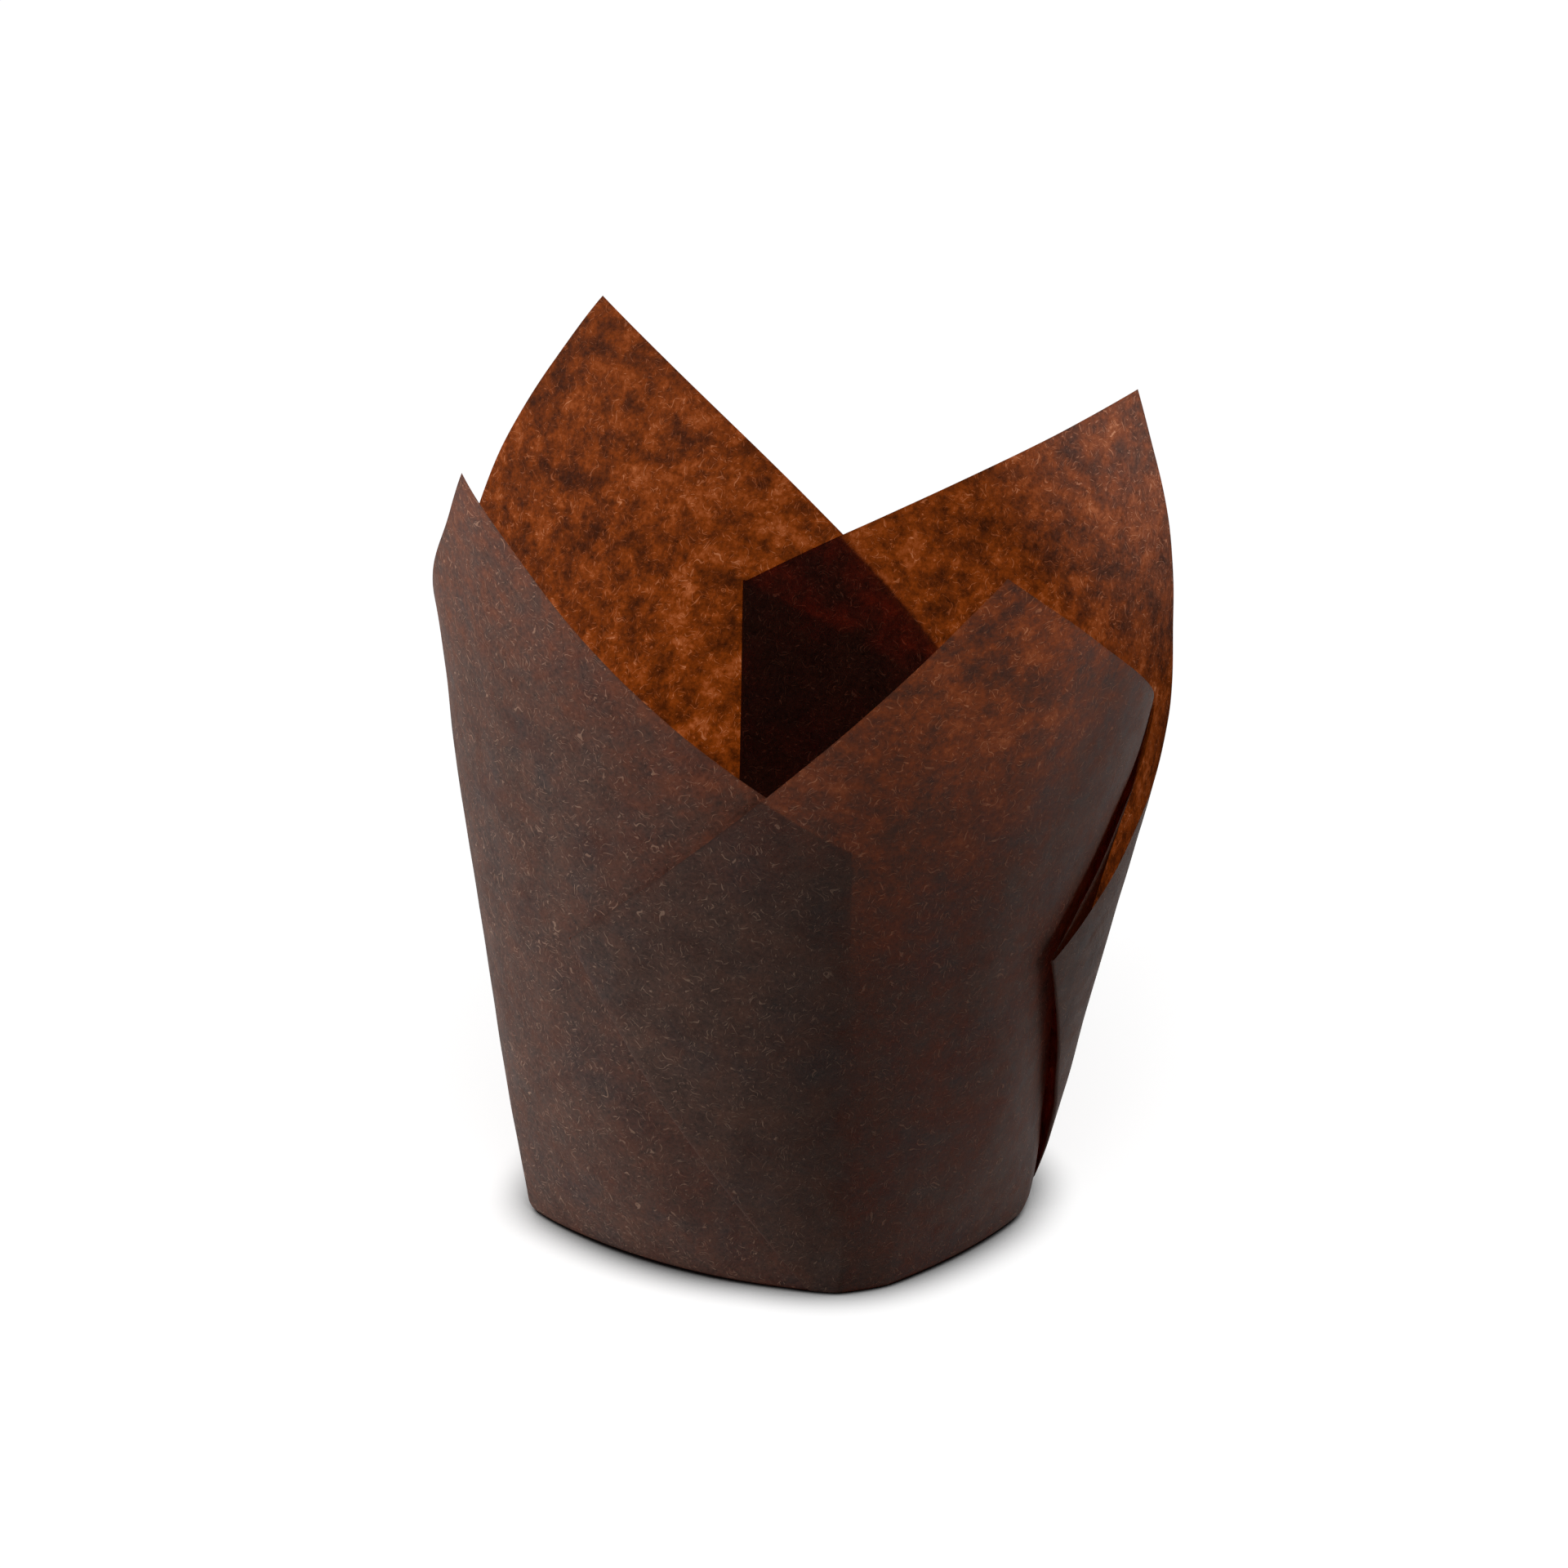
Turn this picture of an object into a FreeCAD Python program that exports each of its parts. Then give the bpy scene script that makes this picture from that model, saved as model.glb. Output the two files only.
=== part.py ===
import FreeCAD, Part
import math
import os

# Tulip baking cup: one square of thin greaseproof paper pressed over a round former.
# The middle of the square is the flat base, its four corners stand up as petals, and the
# paper left over between two petals lies in a pleat of three layers. All four pleats turn
# the same way round.
# Lengths are in millimetres and angles in degrees. Angles about the cup are read from +X
# towards +Y, and lengths up the wall are measured along the paper from the base's edge.

CUP = {
    "base_diameter": 51.7,
    "wall_slope": 10.2,
    "foot_slope": 50.0,
    "foot_radius": 2.5,
    "side_lean": 3.55,
    "paper_thickness": 0.25,
    "layer_pitch": 0.6,
    "layer_ramp_width": 9.0,
    "pleat_foot_width": 3.0,
    "flat_height": 26.0,
}

# Each pleat starts at its foot on the base's edge. The inner fold ends the earlier petal, and
# the outer fold starts the next one. Turns are angles from the pleat's quarter, or its foot.
# Between the folds lies a pocket, which is pocket_depth deep halfway up and tip_gap at its top.
PLEATS = {
    "front": {
        "foot_turn": 11.0,
        "inner_fold_turn": 5.0,
        "inner_fold_length": 53.0,
        "outer_fold_turn": 53.4,
        "outer_fold_length": 39.0,
        "pocket_depth": 0.2,
        "tip_gap": 0.1,
    },
    "right": {
        "foot_turn": 4.0,
        "inner_fold_turn": 11.0,
        "inner_fold_length": 55.5,
        "outer_fold_turn": 44.2,
        "outer_fold_length": 35.1,
        "pocket_depth": 2.6,
        "tip_gap": 1.5,
    },
    "back": {
        "foot_turn": 7.0,
        "inner_fold_turn": -4.2,
        "inner_fold_length": 54.5,
        "outer_fold_turn": 45.0,
        "outer_fold_length": 41.0,
        "pocket_depth": 0.2,
        "tip_gap": 0.1,
    },
    "left": {
        "foot_turn": 8.0,
        "inner_fold_turn": -2.0,
        "inner_fold_length": 55.0,
        "outer_fold_turn": 50.0,
        "outer_fold_length": 41.0,
        "pocket_depth": 0.2,
        "tip_gap": 0.1,
    },
}

# Each petal follows the pleat of the same place in the list above. Its tip is a corner of the
# square. The bows are how far the cut edges before and after the tip rise above a straight line
# in the middle. Under each petal a stretch of the base's edge is drawn in by flat_depth. It
# starts and ends at the turns below, counted from the feet of the petal's two pleats.
PETALS = {
    "front_right": {
        "tip_turn": -21.3,
        "tip_length": 81.2,
        "rise_bow": 0.5,
        "fall_bow": 0.0,
        "flat_depth": 1.2,
        "flat_start_turn": 14.0,
        "flat_end_turn": -22.0,
    },
    "back_right": {
        "tip_turn": -8.1,
        "tip_length": 79.5,
        "rise_bow": 0.0,
        "fall_bow": -0.4,
        "flat_depth": 2.0,
        "flat_start_turn": 0.0,
        "flat_end_turn": 0.0,
    },
    "back_left": {
        "tip_turn": -10.5,
        "tip_length": 86.4,
        "rise_bow": 1.0,
        "fall_bow": 0.8,
        "flat_depth": 2.4,
        "flat_start_turn": 0.0,
        "flat_end_turn": 6.0,
    },
    "front_left": {
        "tip_turn": -12.3,
        "tip_length": 86.6,
        "rise_bow": 0.0,
        "fall_bow": -0.8,
        "flat_depth": 3.9,
        "flat_start_turn": 6.0,
        "flat_end_turn": 2.0,
    },
}

QUARTER = 90.0
FIRST_QUARTER = -90.0
ROWS_UP = 9
COLUMNS_PETAL = 9
COLUMNS_LAYER = 5
FLAT_ENOUGH = 1e-7


def make_sheet(document):
    """Puts every driving size in its own cell, under its own name."""
    sheet = document.addObject("Spreadsheet::Sheet", "Sizes")
    rows = dict(CUP)
    for group in (PLEATS, PETALS):
        for place, sizes in group.items():
            for name, value in sizes.items():
                rows[place + "_" + name] = value
    for number, (name, value) in enumerate(rows.items(), start=1):
        sheet.set("A%d" % number, name)
        sheet.set("B%d" % number, str(value))
        sheet.setAlias("B%d" % number, name)
    return sheet


def smooth(share):
    """Eases from 0 to 1 as share goes from 0 to 1."""
    share = min(max(share, 0.0), 1.0)
    return share * share * (3.0 - 2.0 * share)


def between(start, end, share):
    return start + (end - start) * share


class Wall:
    """The flared wall, on which a point is an angle, a length up the paper and a depth outwards."""

    def __init__(self, sheet):
        self.radius = sheet.base_diameter / 2.0
        self.slope = math.radians(sheet.wall_slope)
        self.foot_slope = math.radians(sheet.foot_slope)
        self.foot_radius = sheet.foot_radius
        self.foot_length = self.foot_radius * (self.foot_slope - self.slope)
        self.foot_rise = self.foot_radius * (math.sin(self.foot_slope) - math.sin(self.slope))
        self.foot_reach = self.foot_radius * (math.cos(self.slope) - math.cos(self.foot_slope))
        self.lean = math.tan(math.radians(sheet.side_lean))
        self.apex = self.radius / math.sin(self.slope)
        self.flat_height = sheet.flat_height
        self.flats = []

    def profile(self, length):
        """Radius and height at a length up the wall: a rounded foot, then a straight flare."""
        if length < self.foot_length:
            slope = self.foot_slope - length / self.foot_radius
            reach = self.foot_radius * (math.cos(slope) - math.cos(self.foot_slope))
            rise = self.foot_radius * (math.sin(self.foot_slope) - math.sin(slope))
        else:
            straight = length - self.foot_length
            reach = self.foot_reach + straight * math.sin(self.slope)
            rise = self.foot_rise + straight * math.cos(self.slope)
        start = self.radius - self.foot_reach + self.foot_length * math.sin(self.slope)
        return start + reach, rise

    def drawn_in(self, angle, length):
        """Between its corners the base's edge runs flatter than the round, and so does the foot."""
        fade = max(1.0 - length / self.flat_height, 0.0) ** 2
        for start, end, depth in self.flats:
            share = ((angle - start) % 360.0) / (end - start)
            if share < 1.0:
                return depth * 4.0 * share * (1.0 - share) * fade
        return 0.0

    def place(self, angle, length, depth, lift):
        radius, height = self.profile(length)
        radius += depth - self.drawn_in(angle, length)
        turn = math.radians(angle)
        x = radius * math.cos(turn) + self.lean * height
        return FreeCAD.Vector(x, radius * math.sin(turn), height + lift)

    def unroll(self, angle, length):
        """The same point with the wall rolled out flat, where the paper's edges are straight."""
        turn = math.radians(angle) * math.sin(self.slope)
        reach = self.apex + length
        return reach * math.sin(turn), reach * math.cos(turn)

    def roll(self, across, along):
        turn = math.atan2(across, along) / math.sin(self.slope)
        return math.degrees(turn), math.hypot(across, along) - self.apex

    def straight(self, start, end, share):
        """A point on the straight edge of the paper between two points on the wall."""
        first = self.unroll(*start)
        last = self.unroll(*end)
        return self.roll(between(first[0], last[0], share), between(first[1], last[1], share))


class Pleat:
    """Feet and tips of one pleat's two folds, and how deep its pocket is."""

    def __init__(self, sheet, wall, name, quarter):
        def size(key):
            return getattr(sheet, name + "_" + key)

        foot = quarter + size("foot_turn")
        half_width = math.degrees(sheet.pleat_foot_width / 2.0 / wall.radius)
        self.wall = wall
        self.foot = foot
        self.inner_foot = (foot + half_width, 0.0)
        self.outer_foot = (foot - half_width, 0.0)
        self.inner_tip = (foot - size("inner_fold_turn"), size("inner_fold_length"))
        self.outer_tip = (foot - size("outer_fold_turn"), size("outer_fold_length"))
        self.pocket_depth = size("pocket_depth")
        self.tip_gap = size("tip_gap")

    def fold_angle(self, foot, tip, length):
        """Angle of a fold where it passes a length up the wall."""
        share = min(max(length / tip[1], 0.0), 1.0)
        return self.wall.straight(foot, tip, share)[0]

    def inner_angle(self, length):
        return self.fold_angle(self.inner_foot, self.inner_tip, length)

    def outer_angle(self, length):
        return self.fold_angle(self.outer_foot, self.outer_tip, length)

    def pocket(self, length):
        """How far the inner fold stands in from the wall, from nothing at its foot."""
        share = min(max(length / self.inner_tip[1], 0.0), 1.0)
        return self.pocket_depth * math.sin(math.pi * share) ** 2 + self.tip_gap * smooth(share)


class Petal:
    """The paper from one pleat's outer fold, over the petal's tip, to the next inner fold."""

    def __init__(self, sheet, wall, name, quarter, before, after):
        def size(key):
            return getattr(sheet, name + "_" + key)

        self.wall = wall
        self.before = before
        self.after = after
        self.tip = (quarter + QUARTER / 2.0 + size("tip_turn"), size("tip_length"))
        self.tip_foot = (self.tip[0], 0.0)
        self.rise_bow = size("rise_bow")
        self.fall_bow = size("fall_bow")
        flat_start = before.foot + size("flat_start_turn")
        self.flat = (flat_start, after.foot + size("flat_end_turn"), size("flat_depth"))
        self.pitch = sheet.layer_pitch
        self.ramp = sheet.layer_ramp_width

    def depth(self, angle, length):
        """Outermost of three layers at the earlier pleat, innermost at the later one."""
        radius = self.wall.profile(length)[0]
        ramp = math.degrees(self.ramp / radius)
        clear = ramp / 4.0
        leaving = smooth((angle - self.before.inner_angle(length) - clear) / ramp)
        start = self.after.outer_angle(length) - clear - ramp
        entering = smooth((angle - start) / ramp)
        dent_span = self.after.inner_angle(length) - start
        dent = self.after.pocket(length) * smooth((angle - start) / dent_span)
        return self.pitch * (1.0 - leaving - entering) - dent


def row_shares():
    """Where the rows of points lie up the wall: close together at the foot."""
    return [(row / (ROWS_UP - 1.0)) ** 1.6 for row in range(ROWS_UP)]


def grid(wall, left, right, top_start, top_end, bow, columns, depth):
    """Rows of (angle, length, depth) over one zone, from its left fold or line to its right."""
    rows = []
    for share_up in row_shares():
        row = []
        for column in range(columns):
            across = column / (columns - 1.0)
            top = wall.straight(top_start, top_end, across)
            left_here = wall.straight(left, top_start, share_up)
            right_here = wall.straight(right, top_end, share_up)
            bottom_angle = between(left[0], right[0], across)
            angle = (
                between(left_here[0], right_here[0], across)
                + between(bottom_angle, top[0], share_up)
                - between(
                    between(left[0], right[0], across),
                    between(top_start[0], top_end[0], across),
                    share_up,
                )
            )
            length = (
                between(left_here[1], right_here[1], across)
                + (top[1] + 4.0 * bow * across * (1.0 - across)) * share_up
                - between(top_start[1], top_end[1], across) * share_up
            )
            row.append((angle, length, depth(angle, length, across)))
        rows.append(row)
    return rows


def petal_zones(petal):
    """The petal's two halves, each side of the line from its tip down to the base."""

    def depth(angle, length, across):
        return petal.depth(angle, length)

    wall, tip, foot = petal.wall, petal.tip, petal.tip_foot
    before, after = petal.before, petal.after
    rising = grid(
        wall, before.outer_foot, foot, before.outer_tip, tip, petal.rise_bow, COLUMNS_PETAL, depth
    )
    falling = grid(
        wall, foot, after.inner_foot, tip, after.inner_tip, petal.fall_bow, COLUMNS_PETAL, depth
    )
    return rising, falling


def layer_zone(pleat):
    """The pleat's middle layer, from its inner fold back to its outer fold."""

    def depth(angle, length, across):
        return -pleat.pocket(length) * (1.0 - across)

    left, right = pleat.inner_foot, pleat.outer_foot
    return grid(
        pleat.wall, left, right, pleat.inner_tip, pleat.outer_tip, 0.0, COLUMNS_LAYER, depth
    )


class Skin:
    """One face of the paper: side is 1 for the face outside the cup and -1 for the face within."""

    def __init__(self, wall, thickness, side):
        self.wall = wall
        self.thickness = thickness
        self.side = side
        self.lift_height = 4.0 * thickness

    def point(self, place, facing):
        """facing is 1 where the paper's outside faces out, and -1 in a pleat's middle layer."""
        angle, length, depth = place
        depth = depth + self.side * facing * self.thickness / 2.0
        lift = 0.0
        if self.side < 0:
            lift = self.thickness * max(1.0 - length / self.lift_height, 0.0)
        return self.wall.place(angle, length, depth, lift)

    def points(self, rows, facing):
        return [[self.point(place, facing) for place in row] for row in rows]


def turn_points(first, last, wall, outward):
    """The turn that joins two layers at a fold, square at its corners, one row for each row up."""
    rows = []
    for start, end in zip(first, last):
        middle = (start + end) / 2.0
        radius = (end - start).Length / 2.0
        turn = math.atan2(middle.y, middle.x - wall.lean * middle.z)
        along = FreeCAD.Vector(-math.sin(turn), math.cos(turn), 0.0) * (outward * radius)
        rows.append([start, start + along, end + along, end])
    return rows


def flat_face(*corners):
    return Part.Face(Part.makePolygon(list(corners) + [corners[0]]))


def small_faces(rows):
    """Faces through rows of corner points, folded across where four corners aren't flat."""
    faces = []
    for low, high in zip(rows, rows[1:]):
        for index in range(len(low) - 1):
            start, end, over_start, over_end = low[index], low[index + 1], high[index], high[index + 1]
            normal = (over_end - start).cross(end - start).normalize()
            if abs((over_start - start).dot(normal)) < FLAT_ENOUGH:
                faces.append(flat_face(start, end, over_end, over_start))
            else:
                faces.append(flat_face(start, end, over_end))
                faces.append(flat_face(start, over_end, over_start))
    return faces


def base_face(skin):
    """The flat bottom inside the lowest row of a skin's zones."""
    corners = []
    for rows in skin:
        corners += rows[0][:-1]
    return Part.Face(Part.makePolygon(corners + corners[:1]))


def skin_zones(skin, pleats, zones, layers):
    """All zones of one skin in order round the cup, each as rows of points."""
    result = []
    for index in range(len(pleats)):
        earlier_fall = skin.points(zones[index - 1][1], 1)
        layer = skin.points(layers[index], -1)
        rising = skin.points(zones[index][0], 1)
        falling = skin.points(zones[index][1], 1)
        inner_turn = turn_points(
            [row[-1] for row in earlier_fall], [row[0] for row in layer], skin.wall, 1.0
        )
        outer_turn = turn_points([row[-1] for row in layer], [row[0] for row in rising], skin.wall, -1.0)
        result += [inner_turn, layer, outer_turn, rising, falling]
    return result


def fold_cup(sheet):
    """The whole cup as one solid: two skins, the cut edge round the top and the flat base."""
    wall = Wall(sheet)
    pleats = []
    for index, name in enumerate(PLEATS):
        pleats.append(Pleat(sheet, wall, name, FIRST_QUARTER + QUARTER * index))
    layers = [layer_zone(pleat) for pleat in pleats]
    full_turn = FIRST_QUARTER + QUARTER * len(pleats)
    ends = pleats[1:] + [Pleat(sheet, wall, list(PLEATS)[0], full_turn)]
    zones = []
    for index, name in enumerate(PETALS):
        before, after = pleats[index], ends[index]
        petal = Petal(sheet, wall, name, FIRST_QUARTER + QUARTER * index, before, after)
        zones.append(petal_zones(petal))
        wall.flats.append(petal.flat)
    thickness = sheet.paper_thickness
    outside = skin_zones(Skin(wall, thickness, 1.0), pleats, zones, layers)
    inside = skin_zones(Skin(wall, thickness, -1.0), pleats, zones, layers)
    faces = [base_face(outside), base_face(inside)]
    for rows in outside + inside:
        faces += small_faces(rows)
    for out, within in zip(outside, inside):
        faces += small_faces([out[-1], within[-1]])
    shell = Part.makeShell(faces)
    shell.sewShape()
    solid = Part.makeSolid(shell)
    if solid.Volume < 0.0:
        solid.reverse()
    return solid


def check(document, parts):
    """Stops unless every object computed and every part is one valid solid."""
    for item in document.Objects:
        if {"Invalid", "Error"} & set(item.State):
            raise RuntimeError("%s failed: %s" % (item.Label, item.State))
    for item in parts:
        shape = item.Shape
        if shape.isNull() or not shape.isValid() or len(shape.Solids) != 1:
            raise RuntimeError("%s is not one valid solid" % item.Label)


def main():
    document = FreeCAD.newDocument("TulipCup")
    sheet = make_sheet(document)
    document.recompute()
    cup = document.addObject("Part::Feature", "PaperCup")
    cup.Label = "paper_cup"
    cup.Shape = fold_cup(sheet)
    cup.Placement = FreeCAD.Placement()
    document.recompute()
    parts = [cup]
    check(document, parts)
    os.makedirs("parts", exist_ok=True)
    for item in parts:
        item.Shape.exportStep("parts/%s.step" % item.Label)
        box = item.Shape.BoundBox
        print(item.Label, "volume %.0f mm3" % item.Shape.Volume, "size %.1f %.1f %.1f" % (
            box.XLength, box.YLength, box.ZLength))


main()
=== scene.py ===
import math

import bpy
import numpy as np
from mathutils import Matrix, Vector, noise


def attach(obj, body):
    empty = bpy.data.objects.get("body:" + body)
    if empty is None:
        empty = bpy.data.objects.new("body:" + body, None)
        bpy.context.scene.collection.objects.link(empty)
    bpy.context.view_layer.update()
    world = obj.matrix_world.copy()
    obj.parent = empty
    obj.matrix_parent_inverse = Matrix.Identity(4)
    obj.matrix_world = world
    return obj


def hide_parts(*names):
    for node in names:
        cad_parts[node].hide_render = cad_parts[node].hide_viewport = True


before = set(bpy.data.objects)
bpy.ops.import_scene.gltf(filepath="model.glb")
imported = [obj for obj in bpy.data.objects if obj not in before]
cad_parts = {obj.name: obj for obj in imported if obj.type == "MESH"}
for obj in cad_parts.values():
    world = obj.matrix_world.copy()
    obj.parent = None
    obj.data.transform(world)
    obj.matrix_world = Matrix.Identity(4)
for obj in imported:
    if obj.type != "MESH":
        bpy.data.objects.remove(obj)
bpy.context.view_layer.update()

# A tulip baking cup: one square of thin brown greaseproof paper, pressed over a round former.
# Sizes of the folded sheet are in millimetres and degrees. A place on the wall is an angle
# about the cup and a length up the paper from the base's edge.
MM = 0.001

# The base, the rounded foot, which turns from FOOT_SLOPE to WALL_SLOPE off the upright, and the
# wall. The cup leans to one side, and the flatter stretches of the base's edge fade out up to
# FLAT_HEIGHT.
BASE_RADIUS = 25.85
WALL_SLOPE = math.radians(10.2)
FOOT_SLOPE = math.radians(50.0)
FOOT_RADIUS = 2.5
SIDE_LEAN = math.tan(math.radians(3.55))
FLAT_HEIGHT = 26.0

# The layers of a pleat lie LAYER_PITCH apart, and closer within PITCH_RISE of the foot. A petal
# goes from one layer to the next over LAYER_RAMP, which starts a part of it clear of the fold.
PAPER_THICKNESS = 0.1
LAYER_PITCH = 0.4
PITCH_AT_FOOT = 0.25
PITCH_RISE = 12.0
PLEAT_FOOT_WIDTH = 3.0
LAYER_RAMP = 9.0
RAMP_CLEARANCE = 0.25

# For each pleat: its foot, the tips of its inner and outer folds, and how deep the pocket
# between the folds is halfway up and at its top.
PLEATS = [
    {"foot": -79.0, "inner": (-84.0, 53.0), "outer": (-132.4, 39.0), "pocket": 1.2, "gap": 0.4},
    {"foot": 4.0, "inner": (-7.0, 55.5), "outer": (-40.2, 35.1), "pocket": 2.6, "gap": 1.5},
    {"foot": 97.0, "inner": (101.2, 54.5), "outer": (52.0, 41.0), "pocket": 0.2, "gap": 0.1},
    {"foot": 188.0, "inner": (190.0, 55.0), "outer": (138.0, 41.0), "pocket": 0.2, "gap": 0.1},
]
# For each petal: its tip, the bows of its cut edges before and after the tip, how far the base's
# edge is drawn in below it, and where, past the feet of its two pleats, that starts and ends.
PETALS = [
    {"tip": (-66.3, 81.2), "bows": (0.5, 0.0), "flat": 1.2, "flat_from": 14.0, "flat_to": -22.0},
    {"tip": (36.9, 79.5), "bows": (0.0, -0.4), "flat": 2.0, "flat_from": 0.0, "flat_to": 0.0},
    {"tip": (124.5, 86.4), "bows": (1.0, 0.8), "flat": 2.4, "flat_from": 0.0, "flat_to": 6.0},
    {"tip": (212.7, 86.6), "bows": (0.0, -0.8), "flat": 3.9, "flat_from": 6.0, "flat_to": 2.0},
]

FOOT_LENGTH = FOOT_RADIUS * (FOOT_SLOPE - WALL_SLOPE)
FOOT_RISE = FOOT_RADIUS * (math.sin(FOOT_SLOPE) - math.sin(WALL_SLOPE))
FOOT_REACH = FOOT_RADIUS * (math.cos(WALL_SLOPE) - math.cos(FOOT_SLOPE))
WALL_START = BASE_RADIUS + FOOT_LENGTH * math.sin(WALL_SLOPE)
APEX = BASE_RADIUS / math.sin(WALL_SLOPE)

# How finely the sheet is divided: rows up the wall, a little closer near the foot, and columns
# across half a petal, a middle layer and the turn of a fold. Points within WELD_REACH become one.
ROWS = 96
ROW_CROWDING = 1.15
PETAL_COLUMNS = 64
LAYER_COLUMNS = 28
TURN_COLUMNS = 7
BASE_RINGS = 24
WELD_REACH = 0.002

# Where the middle layers and the base lie in the finish's flat sheet, clear of the petals, and a
# distance from the cut edge that stands for none near.
LAYER_SHEET = 40.0
BASE_SHEET = 80.0
NO_RIM = 50.0

# Unevenness of the pressed paper: its size at the foot and what the loose upper part adds, the
# width of its waves, the height over which it settles in, and where the paper gets loose.
WAVE = 0.18
LOOSE_WAVE = 0.5
WAVE_WIDTH = 17.0
SMALL_WAVE = 0.10
SMALL_WAVE_WIDTH = 6.0
SMALL_WAVE_SHIFT = Vector((9.0, 2.0, 5.0))
SETTLED_HEIGHT = 12.0
LOOSE_FROM = 30.0
LOOSE_OVER = 50.0


def smooth(share):
    """A share from 0 to 1, eased at both ends."""
    share = np.clip(share, 0.0, 1.0)
    return share * share * (3.0 - 2.0 * share)


def arch(share):
    """0 at both ends and 1 in the middle."""
    return 4.0 * share * (1.0 - share)


def wall_profile(length):
    """Radius and height at a length up the wall: a rounded foot, then a straight flare."""
    slope = FOOT_SLOPE - np.minimum(length, FOOT_LENGTH) / FOOT_RADIUS
    foot_reach = FOOT_RADIUS * (np.cos(slope) - math.cos(FOOT_SLOPE)) - FOOT_REACH
    foot_rise = FOOT_RADIUS * (math.sin(FOOT_SLOPE) - np.sin(slope))
    flare = np.maximum(length - FOOT_LENGTH, 0.0)
    radius = WALL_START + foot_reach + flare * math.sin(WALL_SLOPE)
    return radius, foot_rise + flare * math.cos(WALL_SLOPE)


def drawn_in(angle, length):
    """How far the wall is drawn in, because the base's edge runs flatter between its corners."""
    fade = np.maximum(1.0 - length / FLAT_HEIGHT, 0.0) ** 2
    depth = 0.0 * angle * length
    for index, petal in enumerate(PETALS):
        start = PLEATS[index]["foot"] + petal["flat_from"]
        end = PLEATS[(index + 1) % len(PLEATS)]["foot"] + petal["flat_to"]
        share = ((angle - start) % 360.0) / ((end - start) % 360.0)
        depth += np.where(share < 1.0, petal["flat"] * arch(share) * fade, 0.0)
    return depth


def place(angle, length, depth):
    """Points in metres for places on the wall, depth outwards."""
    radius, height = wall_profile(length)
    radius = radius - drawn_in(angle, length)
    turn = np.radians(angle)
    x = (radius + depth) * np.cos(turn) + SIDE_LEAN * height
    y = (radius + depth) * np.sin(turn)
    return np.stack([x, y, height + PAPER_THICKNESS], axis=-1) * MM


def unroll(spot):
    """The spot on the wall rolled out flat, where folds and cut edges are straight."""
    turn = math.radians(spot[0]) * math.sin(WALL_SLOPE)
    return np.array([math.sin(turn), math.cos(turn)]) * (APEX + spot[1])


def straight(start, end, share):
    """Angles and lengths along the straight edge between two spots on the wall."""
    share = np.asarray(share)[..., None]
    flat = unroll(start) * (1.0 - share) + unroll(end) * share
    turn = np.arctan2(flat[..., 0], flat[..., 1])
    return np.degrees(turn / math.sin(WALL_SLOPE)), np.hypot(flat[..., 0], flat[..., 1]) - APEX


class Pleat:
    """A fold of three layers. After a full turn about the cup the first pleat comes again."""

    def __init__(self, sizes, turns=0):
        around = 360.0 * turns
        half = math.degrees(PLEAT_FOOT_WIDTH / 2.0 / BASE_RADIUS)
        self.foot = sizes["foot"] + around
        self.inner_foot = (self.foot + half, 0.0)
        self.outer_foot = (self.foot - half, 0.0)
        self.inner_tip = (sizes["inner"][0] + around, sizes["inner"][1])
        self.outer_tip = (sizes["outer"][0] + around, sizes["outer"][1])
        self.pocket_depth = sizes["pocket"]
        self.tip_gap = sizes["gap"]

    def inner_angle(self, length):
        share = np.clip(length / self.inner_tip[1], 0.0, 1.0)
        return straight(self.inner_foot, self.inner_tip, share)[0]

    def outer_angle(self, length):
        share = np.clip(length / self.outer_tip[1], 0.0, 1.0)
        return straight(self.outer_foot, self.outer_tip, share)[0]

    def pocket(self, length):
        """How far the inner fold stands in from the wall, from nothing at its foot."""
        share = np.clip(length / self.inner_tip[1], 0.0, 1.0)
        return self.pocket_depth * np.sin(math.pi * share) ** 2 + self.tip_gap * smooth(share)


class Petal:
    """The paper from one pleat's outer fold, over the petal's tip, to the next inner fold."""

    def __init__(self, sizes, before, after):
        self.tip = sizes["tip"]
        self.rise_bow, self.fall_bow = sizes["bows"]
        self.before = before
        self.after = after

    def depth(self, angle, length):
        """Outermost of three layers at the earlier pleat, innermost at the later one."""
        ramp = np.degrees(LAYER_RAMP / wall_profile(length)[0])
        clear = ramp * RAMP_CLEARANCE
        leaving = smooth((angle - self.before.inner_angle(length) - clear) / ramp)
        start = self.after.outer_angle(length) - clear - ramp
        entering = smooth((angle - start) / ramp)
        dent = smooth((angle - start) / (self.after.inner_angle(length) - start))
        pitch = LAYER_PITCH * (PITCH_AT_FOOT + (1.0 - PITCH_AT_FOOT) * smooth(length / PITCH_RISE))
        return pitch * (1.0 - leaving - entering) - dent * self.after.pocket(length)


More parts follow.
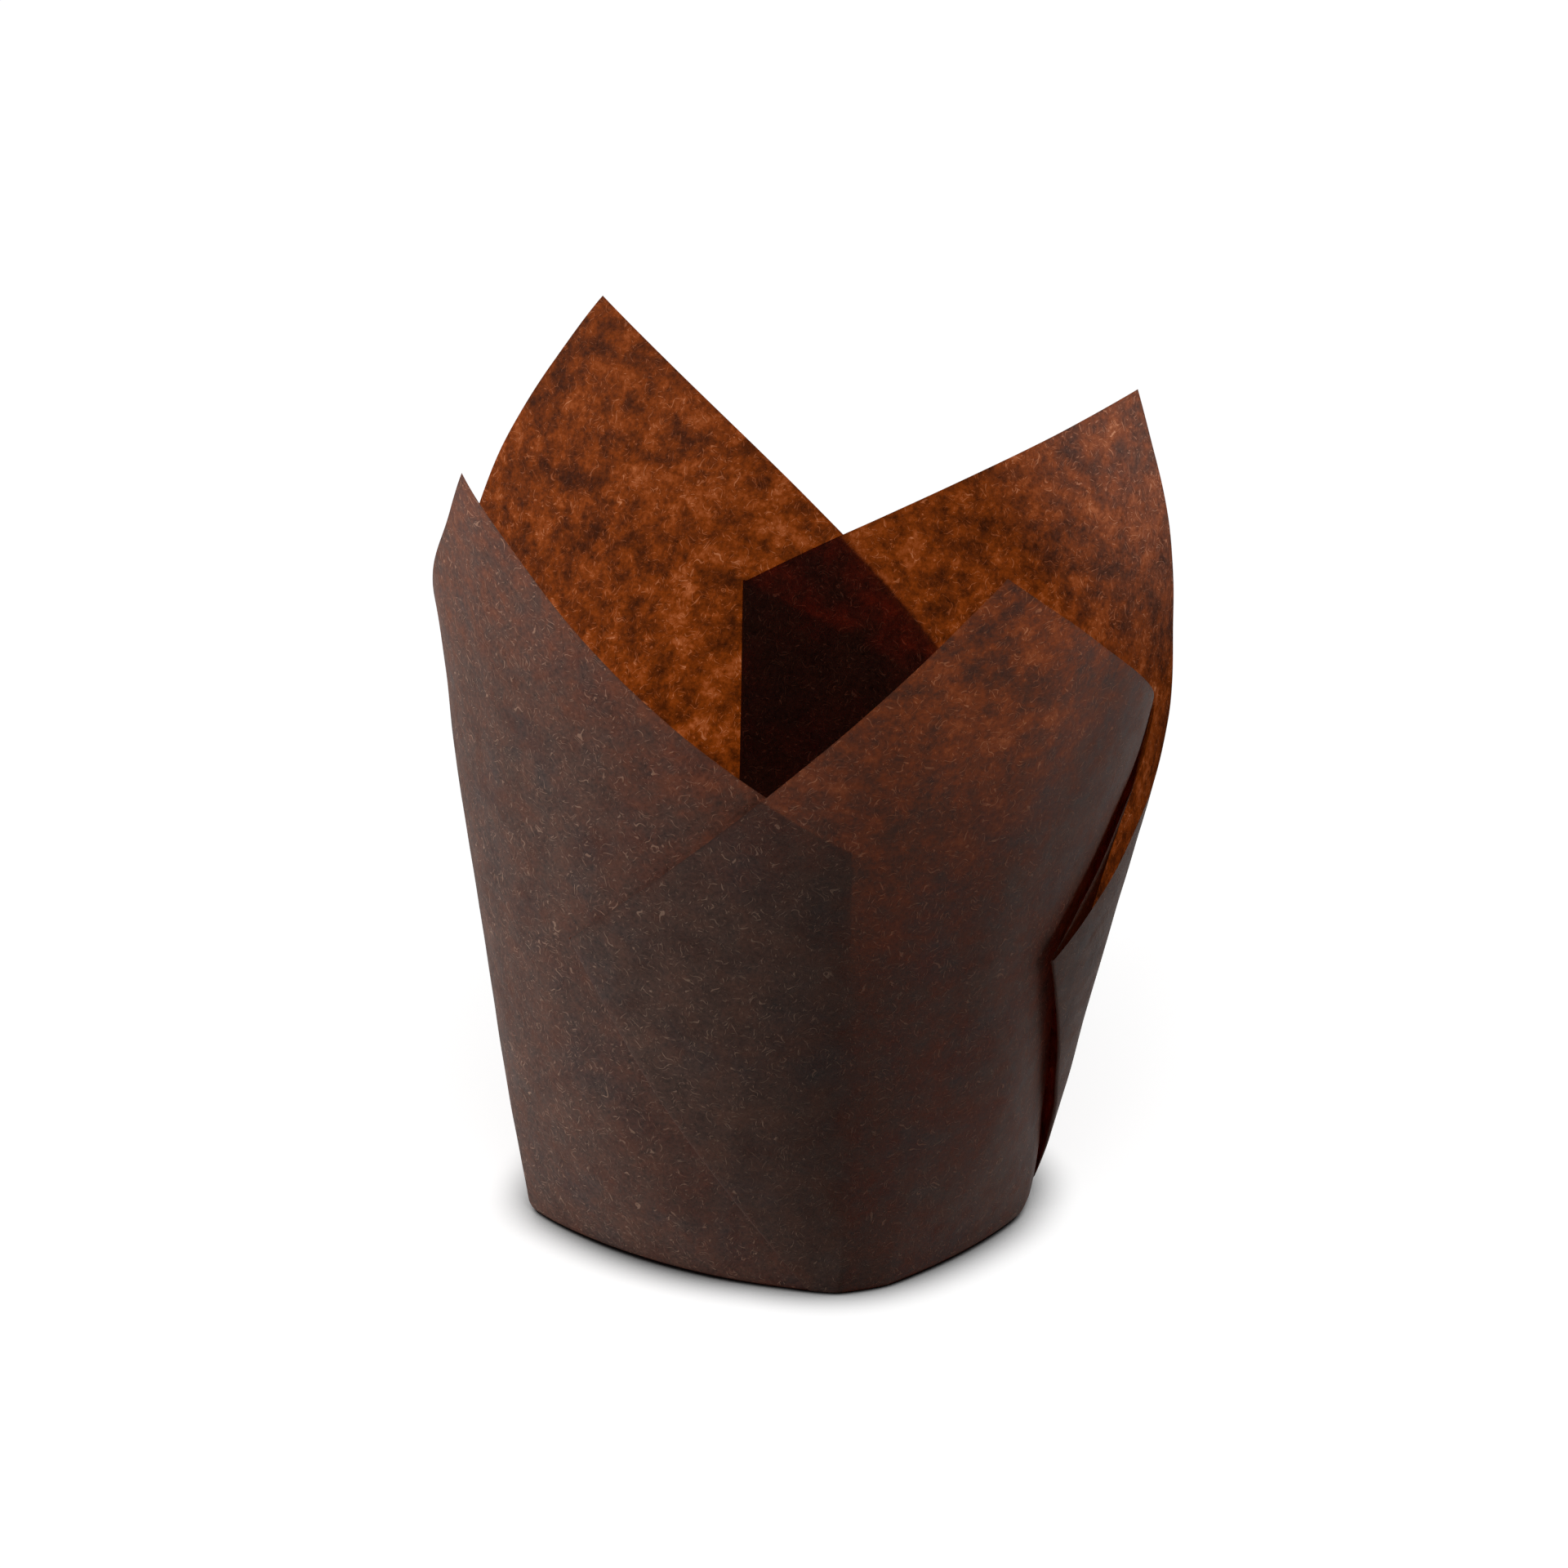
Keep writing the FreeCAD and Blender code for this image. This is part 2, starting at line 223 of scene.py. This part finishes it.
class Zone:
    """A stretch of the sheet between two folds or lines: its places, and its points in metres."""

    def __init__(self, left, right, top_start, top_end, bow, columns, depth, layer=0.0):
        up = (np.linspace(0.0, 1.0, ROWS) ** ROW_CROWDING)[:, None]
        across = np.linspace(0.0, 1.0, columns)[None, :]
        top_angle, top_length = straight(top_start, top_end, across)
        left_angle, left_length = straight(left, top_start, up)
        right_angle, right_length = straight(right, top_end, up)

        # Rows run evenly from side to side, and take on the top edge's line as they rise.
        ends = top_start[0] * (1.0 - across) + top_end[0] * across
        end_lengths = top_start[1] * (1.0 - across) + top_end[1] * across
        self.angle = left_angle * (1.0 - across) + right_angle * across + (top_angle - ends) * up
        bowed = top_length + bow * arch(across)
        self.length = left_length * (1.0 - across) + right_length * across
        self.length = self.length + (bowed - end_lengths) * up
        self.points = place(self.angle, self.length, depth(self.angle, self.length, across))

        # For the finish: about how far below the cut edge, and where on the flat sheet.
        self.rim = (1.0 - up) * (bowed + 0.0 * up)
        turn = np.radians(self.angle) * math.sin(WALL_SLOPE)
        reach = APEX + self.length
        flat = [reach * np.sin(turn), reach * np.cos(turn), layer + 0.0 * turn]
        self.sheet = np.stack(flat, axis=-1)


def petal_zones(petal):
    """The petal's two halves, each side of the line from its tip down to the base."""

    def depth(angle, length, across):
        return petal.depth(angle, length)

    foot = (petal.tip[0], 0.0)
    before, after = petal.before, petal.after
    rising = Zone(
        before.outer_foot, foot, before.outer_tip, petal.tip, petal.rise_bow, PETAL_COLUMNS, depth
    )
    falling = Zone(
        foot, after.inner_foot, petal.tip, after.inner_tip, petal.fall_bow, PETAL_COLUMNS, depth
    )
    return rising, falling


def layer_zone(pleat):
    """The pleat's middle layer, from its inner fold back to its outer fold."""

    def depth(angle, length, across):
        return -pleat.pocket(length) * (1.0 - across)

    feet = (pleat.inner_foot, pleat.outer_foot)
    tips = (pleat.inner_tip, pleat.outer_tip)
    return Zone(*feet, *tips, 0.0, LAYER_COLUMNS, depth, layer=LAYER_SHEET)


class Turn:
    """The round turn of the paper at a fold, from one layer's last column to the next's first.

    It bulges onwards about the cup where way is 1, and back where way is -1.
    """

    def __init__(self, first, last, way):
        start, end = first.points[:, -1], last.points[:, 0]
        middle = (start + end) / 2.0
        arm = (start - end) / 2.0
        centre_x = SIDE_LEAN * middle[:, 2]
        about = np.arctan2(middle[:, 1], middle[:, 0] - centre_x)
        reach = np.linalg.norm(arm, axis=1)[:, None]
        along = np.stack([-np.sin(about), np.cos(about), 0.0 * about], axis=-1) * reach * way
        steps = np.linspace(0.0, math.pi, TURN_COLUMNS)[None, :, None]
        self.points = middle[:, None] + arm[:, None] * np.cos(steps)
        self.points = self.points + along[:, None] * np.sin(steps)
        self.rim = np.repeat(first.rim[:, -1:], TURN_COLUMNS, axis=1)
        share = np.linspace(0.0, 1.0, TURN_COLUMNS)[None, :, None]
        self.sheet = first.sheet[:, -1:] * (1.0 - share) + last.sheet[:, :1] * share


class Sheet:
    """Collects the zones' points and faces into one mesh."""

    def __init__(self):
        self.points = []
        self.faces = []
        self.rims = []
        self.flats = []
        self.count = 0

    def add_points(self, points, rims, flats):
        first = self.count
        self.points.append(points.reshape(-1, 3))
        self.rims.append(rims.reshape(-1))
        self.flats.append(flats.reshape(-1, 3))
        self.count += self.points[-1].shape[0]
        return first

    def add_grid(self, zone):
        rows, columns = zone.points.shape[:2]
        first = self.add_points(zone.points, zone.rim, zone.sheet)
        index = first + np.arange(rows * columns).reshape(rows, columns)
        quads = np.stack([index[:-1, :-1], index[:-1, 1:], index[1:, 1:], index[1:, :-1]], axis=-1)
        self.faces.append(quads.reshape(-1, 4))

    def add_base(self, outline):
        """The flat base, in rings from the foot's outline to the middle."""
        shares = np.linspace(1.0, 0.0, BASE_RINGS)[:, None, None]
        points = outline[None] * shares
        points[..., 2] = PAPER_THICKNESS * MM
        flat = points / MM + np.array([0.0, 0.0, BASE_SHEET])
        first = self.add_points(points, np.full(points.shape[:2], NO_RIM), flat)
        count = outline.shape[0]
        index = first + np.arange(BASE_RINGS * count).reshape(BASE_RINGS, count)
        after = np.roll(index, -1, axis=1)
        quads = np.stack([after[:-1], index[:-1], index[1:], after[1:]], axis=-1)
        self.faces.append(quads.reshape(-1, 4))

    def to_piece(self, name):
        mesh = bpy.data.meshes.new(name)
        points = np.concatenate(self.points)
        faces = np.concatenate(self.faces)
        mesh.from_pydata(points.tolist(), [], faces.tolist())
        rim = mesh.attributes.new("rim", "FLOAT", "POINT")
        rim.data.foreach_set("value", np.concatenate(self.rims).astype(np.float32))
        flat = mesh.attributes.new("sheet", "FLOAT_VECTOR", "POINT")
        flat.data.foreach_set("vector", np.concatenate(self.flats).astype(np.float32).reshape(-1))
        mesh.validate()
        mesh.update()
        piece = bpy.data.objects.new(name, mesh)
        bpy.context.scene.collection.objects.link(piece)
        bpy.context.view_layer.objects.active = piece
        piece.select_set(True)
        weld = piece.modifiers.new("weld", "WELD")
        weld.merge_threshold = WELD_REACH * MM
        bpy.ops.object.modifier_apply(modifier=weld.name)
        piece.select_set(False)
        for polygon in piece.data.polygons:
            polygon.use_smooth = True
        return piece


def ripple(points):
    """Gentle unevenness of pressed paper, the same for all layers at one place."""
    moved = points.copy()
    for index, point in enumerate(points):
        spot = Vector(point) / MM
        height = spot.z
        size = WAVE + LOOSE_WAVE * smooth((height - LOOSE_FROM) / LOOSE_OVER)
        push = size * noise.noise(spot / WAVE_WIDTH)
        push += SMALL_WAVE * noise.noise(spot / SMALL_WAVE_WIDTH + SMALL_WAVE_SHIFT)
        settle = smooth(height / SETTLED_HEIGHT)
        outward = Vector((point[0], point[1], 0.0)).normalized()
        moved[index] += np.array(outward) * push * settle * MM
    return moved


def fold_cup():
    """The whole sheet: the pleats and petals in turn about the cup, and then the base."""
    pleats = [Pleat(sizes) for sizes in PLEATS] + [Pleat(PLEATS[0], turns=1)]
    sheet = Sheet()
    petals = [petal_zones(Petal(sizes, pleats[i], pleats[i + 1])) for i, sizes in enumerate(PETALS)]
    outline = []
    for index in range(len(PLEATS)):
        earlier = petals[index - 1][1]
        layer = layer_zone(pleats[index])
        rising, falling = petals[index]
        sheet.add_grid(Turn(earlier, layer, 1.0))
        sheet.add_grid(layer)
        sheet.add_grid(Turn(layer, rising, -1.0))
        sheet.add_grid(rising)
        sheet.add_grid(falling)
        outline.append(rising.points[0][rising.angle[0] >= pleats[index].foot])
        outline.append(falling.points[0][1:][falling.angle[0][1:] <= pleats[index + 1].foot])
    sheet.add_base(np.concatenate(outline))
    sheet.points = [ripple(np.concatenate(sheet.points))]
    return sheet.to_piece("folded_paper")


class Shade:
    """A number that varies over a surface. Sums on it become Math nodes."""

    def __init__(self, finish, socket):
        self.finish = finish
        self.socket = socket

    def math(self, operation, *others, clamp=False):
        settings = {"operation": operation, "use_clamp": clamp}
        node = self.finish.node("ShaderNodeMath", settings, dict(enumerate([self, *others])))
        return Shade(self.finish, node.outputs[0])

    def __add__(self, other):
        return self.math("ADD", other)

    def __mul__(self, other):
        return self.math("MULTIPLY", other)

    def __sub__(self, other):
        return self.math("SUBTRACT", other)

    def __rsub__(self, other):
        return self * -1.0 + other

    def __pow__(self, other):
        return self.math("POWER", other)

    __radd__ = __add__
    __rmul__ = __mul__

    def between(self, low, high):
        """0 below low, 1 above high, eased between them."""
        settings = {"interpolation_type": "SMOOTHSTEP"}
        values = {"Value": self, "From Min": low, "From Max": high}
        node = self.finish.node("ShaderNodeMapRange", settings, values)
        return Shade(self.finish, node.outputs[0])


# A Mix node's sockets for colours, by number because those for numbers have the same names.
MIX_SHARE, MIX_FIRST, MIX_SECOND, MIX_RESULT = 0, 6, 7, 2


class Finish:
    """A material and the making of its nodes."""

    def __init__(self, name):
        self.material = bpy.data.materials.new(name)
        self.material.use_nodes = True
        self.tree = self.material.node_tree
        self.tree.nodes.clear()

    def node(self, kind, settings=None, values=None):
        node = self.tree.nodes.new(kind)
        for name, value in (settings or {}).items():
            setattr(node, name, value)
        for name, value in (values or {}).items():
            socket = node.inputs[name]
            if isinstance(value, Shade):
                self.tree.links.new(value.socket, socket)
            elif isinstance(value, bpy.types.NodeSocket):
                self.tree.links.new(value, socket)
            else:
                socket.default_value = value
        return node

    def attribute(self, name):
        return self.node("ShaderNodeAttribute", {"attribute_name": name})

    def clouds(self, where, scale, detail=3.0, roughness=0.55, shift=(0.0, 0.0, 0.0)):
        """Soft noise, with scale blotches to a millimetre of the sheet."""
        moved = self.node("ShaderNodeVectorMath", {"operation": "ADD"}, {0: where, 1: shift})
        values = {"Scale": scale, "Detail": detail, "Roughness": roughness}
        values["Vector"] = moved.outputs[0]
        return Shade(self, self.node("ShaderNodeTexNoise", None, values).outputs[0])

    def fibres(self, where):
        """Thin bent threads that lie across each other, from streaks in three directions."""
        values = {"Vector": where, "Scale": FIBRE_BEND_SCALE, "Detail": FIBRE_DETAIL}
        bend = self.node("ShaderNodeTexNoise", None, values)
        moved = self.node("ShaderNodeVectorMath", {"operation": "MULTIPLY_ADD"}, {
            0: bend.outputs["Color"], 1: (FIBRE_BEND, FIBRE_BEND, 0.0), 2: where,
        })
        threads = None
        for index, turn in enumerate(FIBRE_TURNS):
            mapping = self.node("ShaderNodeMapping", {"vector_type": "TEXTURE"}, {
                "Vector": moved.outputs[0],
                "Location": (FIBRE_SHIFT[0] * index, FIBRE_SHIFT[1] * index, 0.0),
                "Rotation": (0.0, 0.0, math.radians(turn)),
                "Scale": (FIBRE_LENGTH, FIBRE_WIDTH, 1.0),
            })
            streaks = self.clouds(mapping.outputs[0], 1.0, detail=FIBRE_DETAIL)
            streaks = streaks.between(*FIBRE_RANGE)
            threads = streaks if threads is None else threads.math("MAXIMUM", streaks)
        return threads

    def scaled(self, colour, amount):
        """A colour made lighter or darker by an amount about 1."""
        values = {0: colour, "Scale": amount}
        return self.node("ShaderNodeVectorMath", {"operation": "SCALE"}, values).outputs[0]

    def blend(self, share, first, second):
        """One colour into another as share goes from 0 to 1."""
        values = {MIX_SHARE: share, MIX_FIRST: first, MIX_SECOND: second}
        return self.node("ShaderNodeMix", {"data_type": "RGBA"}, values).outputs[MIX_RESULT]

    def mix(self, share, first, second):
        """One shader node into another as share goes from 0 to 1."""
        values = {0: share, 1: first.outputs[0], 2: second.outputs[0]}
        return self.node("ShaderNodeMixShader", None, values)

    def surface(self, shader):
        self.node("ShaderNodeOutputMaterial", None, {"Surface": shader})
        return self.material


# Colours of the paper's skin and of the light that comes through it.
BROWN = (0.088, 0.048, 0.036, 1.0)
DARK_BLUISH = (0.066, 0.044, 0.039, 1.0)
WARM = (0.098, 0.045, 0.030, 1.0)
FIBRE = (0.40, 0.25, 0.18, 1.0)
CUT_EDGE = (0.03, 0.016, 0.012, 1.0)
DEEP_GLOW = (0.85, 0.150, 0.008, 1.0)
PALE_GLOW = (1.0, 0.42, 0.20, 1.0)

# Noise over the flat sheet: its scale to a millimetre, and a shift so that no two are alike.
BLOTCHES = {"scale": 0.10, "detail": 4.0, "shift": (3.0, 7.0, 0.0)}
WARMTH = {"scale": 0.30, "detail": 5.0, "shift": (40.0, 11.0, 0.0)}
PATCHES = {"scale": 0.14, "detail": 3.0, "shift": (21.0, 63.0, 0.0)}
FORMATION = {"scale": 0.45, "detail": 6.0, "roughness": 0.65}
GRAIN = {"scale": 2.0, "detail": 4.0, "roughness": 0.7, "shift": (5.0, 1.0, 0.0)}

# Fibres: length and width in millimetres, the directions they lie in, how far and how often they
# bend, how far one direction's streaks are moved from the last's, and the range of the streak
# noise that shows as a fibre.
FIBRE_LENGTH = 1.05
FIBRE_WIDTH = 0.19
FIBRE_TURNS = (17.0, 77.0, 137.0)
FIBRE_BEND = 3.0
FIBRE_BEND_SCALE = 0.5
FIBRE_SHIFT = (7.0, 13.0)
FIBRE_DETAIL = 1.0
FIBRE_RANGE = (0.655, 0.725)

# How much each noise, from its middle, changes the sheet's thinness, the skin's lightness and its
# relief, and what the first two are at the middle of all.
MIDDLE = 0.5
THINNESS = {"mean": 0.42, "formation": 1.7, "patches": 1.1, "grain": 0.8, "fibres": 0.25}
LIGHTNESS = {"mean": 1.03, "grain": 2.8, "warmth": 1.3, "formation": 0.9, "thin": 0.1}
RELIEF = {"grain": 0.5, "fibres": 0.6, "formation": 0.3}

# Noise values, and millimetres from the cut edge, between which a colour takes over, and how
# much of it there is where it has.
BLUISH_RANGE, BLUISH_SHARE = (0.48, 0.66), 0.6
WARM_RANGE, WARM_SHARE = (0.45, 0.65), 0.6
EDGE_RANGE, EDGE_SHARE = (0.05, 0.35), 0.5
FIBRE_SHARE = 0.8

# The skin's roughness and what the cloudiness adds to it, its shine, and its relief in metres.
ROUGHNESS = 0.60
ROUGHER = 0.18
SHINE = 0.2
BUMP_STRENGTH = 0.35
BUMP_HEIGHT = 0.0002

# The share of light that goes through, and where the light that does turns pale.
LEAST_THROUGH = 0.03
MORE_THROUGH = 0.30
THROUGH_CURVE = 1.5
PALE_FROM = 0.56
PALE_FIBRES = 0.25


def greaseproof_paper():
    """Brown dyed paper: cloudy where light comes through, with pale fibres lying in it."""
    finish = Finish("brown_paper_finish")
    sheet = finish.attribute("sheet").outputs["Vector"]
    rim = Shade(finish, finish.attribute("rim").outputs["Fac"])

    blotches = finish.clouds(sheet, **BLOTCHES)
    warmth = finish.clouds(sheet, **WARMTH)
    patches = finish.clouds(sheet, **PATCHES)
    formation = finish.clouds(sheet, **FORMATION)
    grain = finish.clouds(sheet, **GRAIN)
    fibres = finish.fibres(sheet)
    thin = (formation - MIDDLE) * THINNESS["formation"] + (patches - MIDDLE) * THINNESS["patches"]
    thin = thin + (grain - MIDDLE) * THINNESS["grain"] + THINNESS["mean"]
    thin = thin.math("ADD", fibres * THINNESS["fibres"], clamp=True)

    colour = finish.blend(blotches.between(*BLUISH_RANGE) * BLUISH_SHARE, BROWN, DARK_BLUISH)
    colour = finish.blend(warmth.between(*WARM_RANGE) * WARM_SHARE, colour, WARM)
    light = (grain - MIDDLE) * LIGHTNESS["grain"] + (warmth - MIDDLE) * LIGHTNESS["warmth"]
    light = light + (formation - MIDDLE) * LIGHTNESS["formation"] + LIGHTNESS["mean"]
    colour = finish.scaled(colour, light - thin * LIGHTNESS["thin"])
    colour = finish.blend(fibres * FIBRE_SHARE, colour, FIBRE)
    edge = 1.0 - rim.between(*EDGE_RANGE)
    colour = finish.blend(edge * EDGE_SHARE, colour, CUT_EDGE)

    relief = grain * RELIEF["grain"] + fibres * RELIEF["fibres"] + formation * RELIEF["formation"]
    values = {"Strength": BUMP_STRENGTH, "Distance": BUMP_HEIGHT, "Height": relief}
    bump = finish.node("ShaderNodeBump", None, values)
    skin = finish.node(
        "ShaderNodeBsdfPrincipled",
        None,
        {
            "Base Color": colour,
            "Roughness": ROUGHNESS + ROUGHER * formation,
            "Specular IOR Level": SHINE,
            "Normal": bump.outputs[0],
        },
    )
    deep = finish.node("ShaderNodeBsdfTranslucent", None, {"Color": DEEP_GLOW})
    pale = finish.node("ShaderNodeBsdfTranslucent", None, {"Color": PALE_GLOW})
    paleness = (thin - PALE_FROM).math("ADD", fibres * PALE_FIBRES, clamp=True)
    glow = finish.mix(paleness, deep, pale)
    through = LEAST_THROUGH + MORE_THROUGH * thin ** THROUGH_CURVE
    return finish.surface(finish.mix(through, skin, glow).outputs[0])


# The floor's greyness where the camera sees it and where only the cup does, the glow that keeps
# it white in the camera's sight, and the contact shadow's reach, curve and darkness. Then the
# surround's light on the cup, and where the lamps point. Lengths from here on are in metres.
FLOOR_SIZE = 6.0
FLOOR_SEEN = 0.95
FLOOR_UNSEEN = 0.08
FLOOR_LIFT = 0.86
CONTACT_REACH = 0.0052
CONTACT_SAMPLES = 16
CONTACT_CURVE = 1.5
CONTACT_DARKNESS = 1.6
SURROUND_LIGHT = 0.095
LAMP_AIM = Vector((0.0, 0.0, 0.045))

# Name, direction from the cup, distance, size, and brightness on a facing surface.
LAMPS = [
    ("left_lamp", (-0.985, -0.17, 0.02), 0.9, 0.3, 0.98),
    ("right_lamp", (0.95, -0.25, 0.15), 0.9, 0.5, 0.13),
    ("back_lamp", (0.03, 0.90, 0.08), 0.9, 0.5, 0.82),
]
TABLE_LAMP = ("table_lamp", (0.0, -0.50, 0.87), 1.8, 0.7, 0.13)


def grey(level):
    return (level, level, level, 1.0)


def lay_floor():
    """A plain floor that looks white to the camera, and gives little light back to the cup."""
    bpy.ops.mesh.primitive_plane_add(size=FLOOR_SIZE, location=(0.0, 0.0, 0.0))
    floor = bpy.context.object
    floor.name = "studio_floor"
    finish = Finish("studio_floor_finish")
    path = finish.node("ShaderNodeLightPath")
    seen = Shade(finish, path.outputs["Is Camera Ray"])
    for ray in ("Is Glossy Ray", "Is Transmission Ray"):
        seen = seen.math("MAXIMUM", Shade(finish, path.outputs[ray]))
    settings = {"samples": CONTACT_SAMPLES}
    near = finish.node("ShaderNodeAmbientOcclusion", settings, {"Distance": CONTACT_REACH})
    covered = 1.0 - Shade(finish, near.outputs["AO"])
    shadow = (covered ** CONTACT_CURVE).math("MULTIPLY", CONTACT_DARKNESS, clamp=True)
    dull = finish.node("ShaderNodeBsdfDiffuse", None, {"Color": grey(FLOOR_UNSEEN)})
    bright = finish.node("ShaderNodeBsdfDiffuse", None, {"Color": grey(FLOOR_SEEN)})
    lift = finish.node("ShaderNodeEmission", None, {"Strength": FLOOR_LIFT})
    pale = finish.node("ShaderNodeAddShader", None, {0: bright.outputs[0], 1: lift.outputs[0]})
    both = finish.mix(seen * (1.0 - shadow), dull, pale)
    floor.data.materials.append(finish.surface(both.outputs[0]))
    return floor


def light_surround():
    """Dim even light from all round, and white where the camera looks past the floor."""
    world = bpy.data.worlds.new("studio")
    bpy.context.scene.world = world
    world.use_nodes = True
    nodes, links = world.node_tree.nodes, world.node_tree.links
    nodes.clear()
    path = nodes.new("ShaderNodeLightPath")
    mix = nodes.new("ShaderNodeMixShader")
    out = nodes.new("ShaderNodeOutputWorld")
    links.new(path.outputs["Is Camera Ray"], mix.inputs[0])
    for slot, strength in ((1, SURROUND_LIGHT), (2, 1.0)):
        background = nodes.new("ShaderNodeBackground")
        background.inputs["Color"].default_value = grey(1.0)
        background.inputs["Strength"].default_value = strength
        links.new(background.outputs[0], mix.inputs[slot])
    links.new(mix.outputs[0], out.inputs[0])


def hang_lamp(name, direction, distance, size, level, lit):
    """A soft lamp that shines on one piece. Its power goes up with the square of its distance."""
    lamp = bpy.data.lights.new(name, "AREA")
    lamp.shape = "DISK"
    lamp.size = size
    lamp.energy = level * (math.pi * distance) ** 2
    item = bpy.data.objects.new(name, lamp)
    bpy.context.scene.collection.objects.link(item)
    away = Vector(direction).normalized()
    item.location = LAMP_AIM + away * distance
    item.rotation_euler = away.to_track_quat("Z", "Y").to_euler()
    group = bpy.data.collections.new(name + "_shines_on")
    group.objects.link(lit)
    item.light_linking.receiver_collection = group


# The camera, fitted to the photo's outline. Its lens and sensor are in millimetres.
VIEW_TARGET = Vector((0.00059, 0.0, 0.04445))
VIEW_RISE = math.radians(22.0)
VIEW_DISTANCE = 0.600
VIEW_LENS = 137.7
VIEW_SENSOR = 36.0
VIEW_NEAREST = 0.01


def set_camera():
    data = bpy.data.cameras.new("photo_camera")
    data.lens = VIEW_LENS
    data.sensor_width = VIEW_SENSOR
    data.clip_start = VIEW_NEAREST
    camera = bpy.data.objects.new("photo_camera", data)
    bpy.context.scene.collection.objects.link(camera)
    away = Vector((0.0, -math.cos(VIEW_RISE), math.sin(VIEW_RISE)))
    camera.location = VIEW_TARGET + away * VIEW_DISTANCE
    camera.rotation_euler = (math.pi / 2.0 - VIEW_RISE, 0.0, 0.0)
    bpy.context.scene.camera = camera


set_camera()
paper = fold_cup()
paper.data.materials.append(greaseproof_paper())
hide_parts("paper_cup")
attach(paper, "root")
floor = lay_floor()
light_surround()
for sizes in LAMPS:
    hang_lamp(*sizes, lit=paper)
hang_lamp(*TABLE_LAMP, lit=floor)
bpy.context.scene.view_settings.view_transform = "Standard"
